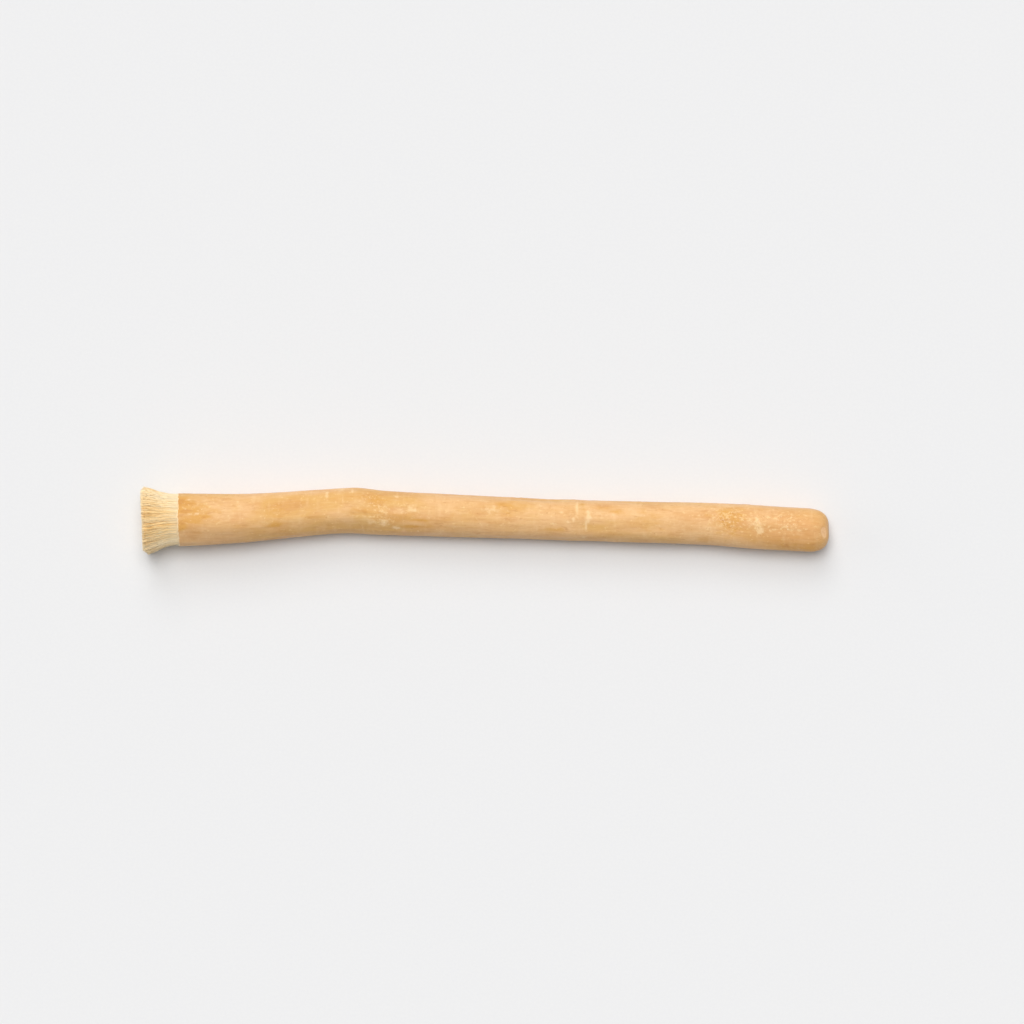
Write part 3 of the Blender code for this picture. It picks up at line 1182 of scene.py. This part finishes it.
@dataclass
class Brush:
    """The fibres of the root, bared and worked apart, that fan out from the bark's cut edge, in mm."""

    form: RootForm
    kinds: tuple[FibreKind, ...] = (
        FibreKind("outer_fibres", 1350, 0.80, 0.98, 0.070, 0.120, 6, 11, 0.20, 0.046),
        FibreKind("surface_fibres", 1150, 0.93, 1.0, 0.045, 0.090, 5, 16, 0.30, 0.068),
        FibreKind("core_fibres", 2450, 0.0, 0.56, 0.070, 0.120, 5, 6, 0.09, 0.030, 1.0, -0.10),
        FibreKind("inner_fibres", 2750, 0.56, 0.82, 0.070, 0.120, 5, 6, 0.10, 0.030, 1.0, -0.06),
        FibreKind("stray_fibres", 110, 0.88, 1.0, 0.030, 0.050, 5, 16, 0.50, 0.070),
    )
    seed: int = 23
    # Where fibres start: how far off an even spread, and how deep in the wood
    spot_turn: float = 0.03
    spot_shift: float = 0.012
    root_depth: float = 0.45
    # How far the tips are cut back: a slanting, ragged line with both corners worn away
    tip_trim: float = 0.72
    tip_slant: float = 0.62
    tip_ragged: float = 0.34
    ragged_power: float = 1.6
    corner_start: float = 0.80
    corner_short: float = 1.00
    corner_ragged: float = 0.90
    upper_corner_start: float = 0.86
    upper_corner_short: float = 0.45
    # The locks that the fibres gather into
    clump_count: int = 260
    clump_shift: float = 0.018
    clump_pull: float = 0.16
    clump_lean: float = 0.06
    clump_tone: float = 0.09
    # Tones, from 0 for bleached to 1 for gold: the mean and its spread
    tone: float = 0.30
    tone_wander: float = 0.15
    tone_range: tuple[float, float] = (-0.3, 1.0)
    # Painted highlight and painted bounce light: how much paler the fibres of the lit side towards +Y and of
    # the side towards -Y are made;
    # then where that starts and over how much of the radius it grows, and the same for the painted shading of
    # the fibres that others cover
    painted_highlight_side: float = 0.40
    painted_bounce_side: float = 0.42
    highlight_band: tuple[float, float] = (0.30, 0.55)
    bounce_band: tuple[float, float] = (0.45, 0.40)
    cover_shading_band: tuple[float, float] = (0.97, 0.10)
    # Crimps, in radians to the mm, and the powers by which they and the wander grow along a fibre
    crimp_waves: tuple[float, float] = (1.6, 3.8)
    crimp_power: float = 0.5
    wander_power: float = 1.5
    # Thickness along a fibre: it swells a little where it is crushed and has a blunt tip
    taper_at: tuple[float, ...] = (0.0, 0.3, 0.85, 1.0)
    taper_to: tuple[float, ...] = (1.0, 1.05, 1.08, 0.84)
    flattest: float = 0.72
    tip_point: float = 0.6
    floor_gap: float = 0.03
    thread_stretch: tuple[float, float, float] = (0.25, 1.0, 1.0)

    def clumps(self, rng: np.random.Generator) -> tuple[Array, Array, Array]:
        """The locks that the fibres gather into.

        Args:
            rng: The source of chance.

        Returns:
            Each lock's place in the unit disc, its lean at the tip and its tone.
        """
        place = on_tube(0.0, *sunflower(self.clump_count))[:, 1:]
        place += rng.normal(0, self.clump_shift, place.shape)
        lean = rng.normal(0, self.clump_lean, place.shape)
        return place, lean, rng.uniform(-self.clump_tone, self.clump_tone, self.clump_count)

    def spots(self, kind: FibreKind, rng: np.random.Generator) -> tuple[Array, Array]:
        """Spreads fibres evenly over a ring of the cut face.

        Args:
            kind: The sort of fibre.
            rng: The source of chance.

        Returns:
            Each fibre's share of the way out from the middle, and its angle.
        """
        away, angle = sunflower(kind.count, kind.inner, kind.outer)
        angle = angle + rng.uniform(-self.spot_turn, self.spot_turn, kind.count)
        away = np.clip(away + rng.uniform(-self.spot_shift, self.spot_shift, kind.count), 0, 1)
        return away, angle % math.tau

    def cut_back(self, out: Array, rng: np.random.Generator) -> Array:
        """Works out how far the tips are cut back.

        Args:
            out: Each fibre's share of the way out to the side towards +Y, from -1 to 1.
            rng: The source of chance.

        Returns:
            How much shorter than the brush each fibre is.
        """
        corner = np.clip((-out - self.corner_start) / (1 - self.corner_start), 0, 1)
        upper = np.clip((out - self.upper_corner_start) / (1 - self.upper_corner_start), 0, 1)
        ragged = self.tip_ragged + self.corner_ragged * corner
        short = self.tip_trim - self.tip_slant * np.maximum(out, 0)
        short += ragged * rng.random(len(out)) ** self.ragged_power
        return short + self.corner_short * corner + self.upper_corner_short * upper

    def tones(self, kind: FibreKind, away: Array, out: Array, lock: Array, rng: np.random.Generator) -> Array:
        """Gives each fibre its tone.

        Args:
            kind: The sort of fibre.
            away: Each fibre's share of the way out from the middle.
            out: Its share of the way out to the side towards +Y.
            lock: The tone of its lock.
            rng: The source of chance.

        Returns:
            The tones.
        """
        # Painted shade, more golden, on fibres that others cover; painted light, paler, on the core and inner
        # fibres that make the brush's shaded face
        start, width = self.cover_shading_band
        cover_shading = kind.painted_cover_shading * smooth((start - away) / width)
        # Painted highlight on the side towards +Y and painted bounce light on the side towards -Y, both as
        # paler tone
        start, width = self.highlight_band
        bleached = self.painted_highlight_side * smooth((out - start) / width)
        start, width = self.bounce_band
        bleached += self.painted_bounce_side * smooth((-out - start) / width)
        tone = self.tone + lock + cover_shading - bleached
        return np.clip(tone + rng.normal(0, self.tone_wander, kind.count), *self.tone_range)

    def paths(self, kind: FibreKind, locks: tuple, rng: np.random.Generator) -> FibreLines:
        """Works out the middle line and thickness of every fibre.

        Args:
            kind: The sort of fibre.
            locks: The locks that fibres gather into.
            rng: The source of chance.

        Returns:
            The fibres' lines.
        """
        away, angle = self.spots(kind, rng)
        rim_along = np.full(kind.count, self.form.collar)
        thickness = rng.uniform(kind.thin, kind.thick, kind.count)
        rim = self.form.half_width(rim_along) + self.form.relief(rim_along, angle) - self.form.bark_step
        depth = self.form.depth_to_width
        root = on_tube(rim_along + self.form.cut_line(angle) * away, (rim - thickness) * away, angle, depth)
        root[:, 1] += self.form.wood_sideways
        root[:, 2] += self.form.centre(rim_along)[1]

        places, leans, tones = locks
        unit = on_tube(0.0, away, angle)[:, 1:]
        nearest = np.argmin(((unit[:, None] - places[None]) ** 2).sum(axis=-1), axis=1)
        pull = (places[nearest] - unit) * rim[:, None] * self.clump_pull
        length = root[:, 0] - self.cut_back(unit[:, 0], rng)

        share = np.linspace(0, 1, kind.steps + 1)
        distance = -self.root_depth + (length[:, None] + self.root_depth) * share
        t = smooth(distance / self.form.collar)[..., None]
        gathered = root[:, None, :] + np.zeros((1, kind.steps + 1, 3))
        gathered[..., 1:] += pull[:, None, :] * t
        line = self.form.fan_out(gathered, np.maximum(distance, 0))
        line[..., 0] = root[:, None, 0] - distance
        line[..., 1:] += leans[nearest][:, None, :] * t

        waves = rng.uniform(*self.crimp_waves, (kind.count, 1, 2))
        starts = rng.uniform(0, math.tau, (kind.count, 1, 2))
        wobble = kind.crimp * np.sin(waves * distance[..., None] + starts)
        outward = on_tube(0.0, 1.0, angle, depth)[:, 1:]
        sideward = np.stack((-np.sin(angle), depth * np.cos(angle)), axis=-1)
        out, side = rng.normal(0, kind.wander, (2, kind.count, 1))
        drift = (outward * out * kind.spread_out + sideward * side)[:, None, :]
        line[..., 1:] += wobble * t ** self.crimp_power + drift * t ** self.wander_power
        line[..., 2] = np.maximum(line[..., 2], thickness[:, None] + self.floor_gap)
        taper = np.interp(share, self.taper_at, self.taper_to)
        tone = self.tones(kind, away, unit[:, 0], tones[nearest], rng)
        return FibreLines(line, thickness[:, None] * taper, tone, share)

    def tubes(self, made: FibreLines, sides: int, rng: np.random.Generator) -> tuple:
        """Wraps a slightly flattened, closed tube round every middle line.

        Args:
            made: The fibres' lines.
            sides: How many sides the tubes have.
            rng: The source of chance.

        Returns:
            Points, faces, tones and shares of the length.
        """
        line, radius = made.line, made.radius
        count, rings = radius.shape
        tangent = np.gradient(line, axis=1)
        tangent /= np.linalg.norm(tangent, axis=-1, keepdims=True)
        across = np.cross(tangent, np.array((0.0, 0.0, 1.0)))
        across /= np.linalg.norm(across, axis=-1, keepdims=True)
        upright = np.cross(across, tangent)
        roll = rng.uniform(0, math.tau, (count, 1, 1))
        turn = np.arange(sides) * math.tau / sides
        wide, tall = np.cos(turn), np.sin(turn) * rng.uniform(self.flattest, 1.0, (count, 1, 1))
        sideways = (wide * np.cos(roll) - tall * np.sin(roll))[..., None] * across[:, :, None, :]
        upwards = (wide * np.sin(roll) + tall * np.cos(roll))[..., None] * upright[:, :, None, :]
        skin = line[:, :, None, :] + radius[:, :, None, None] * (sideways + upwards)
        lead = tangent * radius[..., None] * self.tip_point
        ends = np.stack((line[:, 0] - lead[:, 0], line[:, -1] + lead[:, -1]), axis=1)
        points = np.concatenate((skin.reshape(count, -1, 3), ends), axis=1)

        block = tube_faces(rings, sides, reverse=True)
        size = rings * sides + 2
        faces = [tuple(v + fibre * size for v in face) for fibre in range(count) for face in block]
        share = np.concatenate((np.repeat(made.share, sides), (0.0, 1.0)))
        return points.reshape(-1, 3), faces, np.repeat(made.tone, size), np.tile(share, count)

    def build(self, fibre: bpy.types.Material) -> list[bpy.types.Object]:
        """Builds and dresses the fibres, one piece for each sort.

        Args:
            fibre: The finish of the fibres.

        Returns:
            The pieces.
        """
        rng = np.random.default_rng(self.seed)
        locks = self.clumps(rng)
        pieces = []
        for kind in self.kinds:
            made = self.paths(kind, locks, rng)
            points, faces, tone, share = self.tubes(made, kind.sides, rng)
            values = {"tone": tone, "reach": share, "grain": points * np.array(self.thread_stretch)}
            piece = make_piece(kind.name, self.form.settle(points), faces, fibre, values)
            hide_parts(NODE)
            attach(piece, BODY)
            pieces.append(piece)
        return pieces


@dataclass(frozen=True)
class SoftLight:
    """A broad, far light: its strength, and its spread, height over the floor and turn in degrees."""

    strength: float
    spread: float
    height: float
    turn: float


@dataclass
class Studio:
    """The paper, the soft lights and the camera straight above, in metres."""

    floor_size: float = 6.0
    camera_side: float = 5.99 * MM
    camera_back: float = 1.957 * MM
    camera_reach: float = 10.0
    middle_height: float = 7.0 * MM
    view_width: float = 222.9 * MM
    lens: float = 200.0
    sensor: float = 36.0
    sky: float = 0.255
    sky_colour: str = "#FFFFFF"
    # Two lights on the far side, and a weak one that fills the face of the brush
    lights: tuple[SoftLight, ...] = (
        SoftLight(0.645, 34.0, 76.0, 12.0),
        SoftLight(0.305, 34.0, 44.0, 12.0),
        SoftLight(0.120, 40.0, 14.0, 80.0),
    )

    def build(self) -> bpy.types.Object:
        """Lays the floor and sets the light and the camera.

        Returns:
            The floor.
        """
        half = self.floor_size / 2
        corners = np.array(((-half, -half, 0), (half, -half, 0), (half, half, 0), (-half, half, 0)))
        floor = make_piece("paper", corners, [(0, 1, 2, 3)], MattPaper().build(), {})
        self._light()
        self._camera()
        return floor

    def _light(self) -> None:
        """The soft lights, and an even white sky that fills the shade."""
        world = bpy.data.worlds.new("studio")
        world.use_nodes = True
        bpy.context.scene.world = world
        background = world.node_tree.nodes["Background"]
        background.inputs["Color"].default_value = linear(self.sky_colour)
        background.inputs["Strength"].default_value = self.sky
        for soft in self.lights:
            lamp = bpy.data.lights.new("soft box", "SUN")
            lamp.energy = soft.strength * math.pi
            lamp.angle = math.radians(soft.spread)
            light = bpy.data.objects.new("soft box", lamp)
            light.rotation_euler = (math.radians(soft.height - 90), 0.0, math.radians(soft.turn))
            bpy.context.scene.collection.objects.link(light)

    def _camera(self) -> None:
        """A long lens straight above, square to the stick."""
        data = bpy.data.cameras.new("camera")
        data.lens = self.lens
        data.sensor_width = self.sensor
        data.clip_end = self.camera_reach
        camera = bpy.data.objects.new("camera", data)
        distance = self.view_width * self.lens / self.sensor
        camera.location = (self.camera_side, self.camera_back, self.middle_height + distance)
        bpy.context.scene.collection.objects.link(camera)
        bpy.context.scene.camera = camera
        bpy.context.scene.view_settings.view_transform = "Standard"


def main() -> None:
    """Builds the stick and the studio around it, and reports each piece."""
    logging.basicConfig(level=logging.INFO, format="%(message)s")
    form = RootForm()
    pieces = [Bark(form).build(DriedRootBark().build())]
    pieces += Brush(form).build(BareRootFibre().build())
    for piece in pieces:
        log.info("%s: %d faces", piece.name, len(piece.data.polygons))
    Studio().build()


if __name__ == "__main__":
    main()
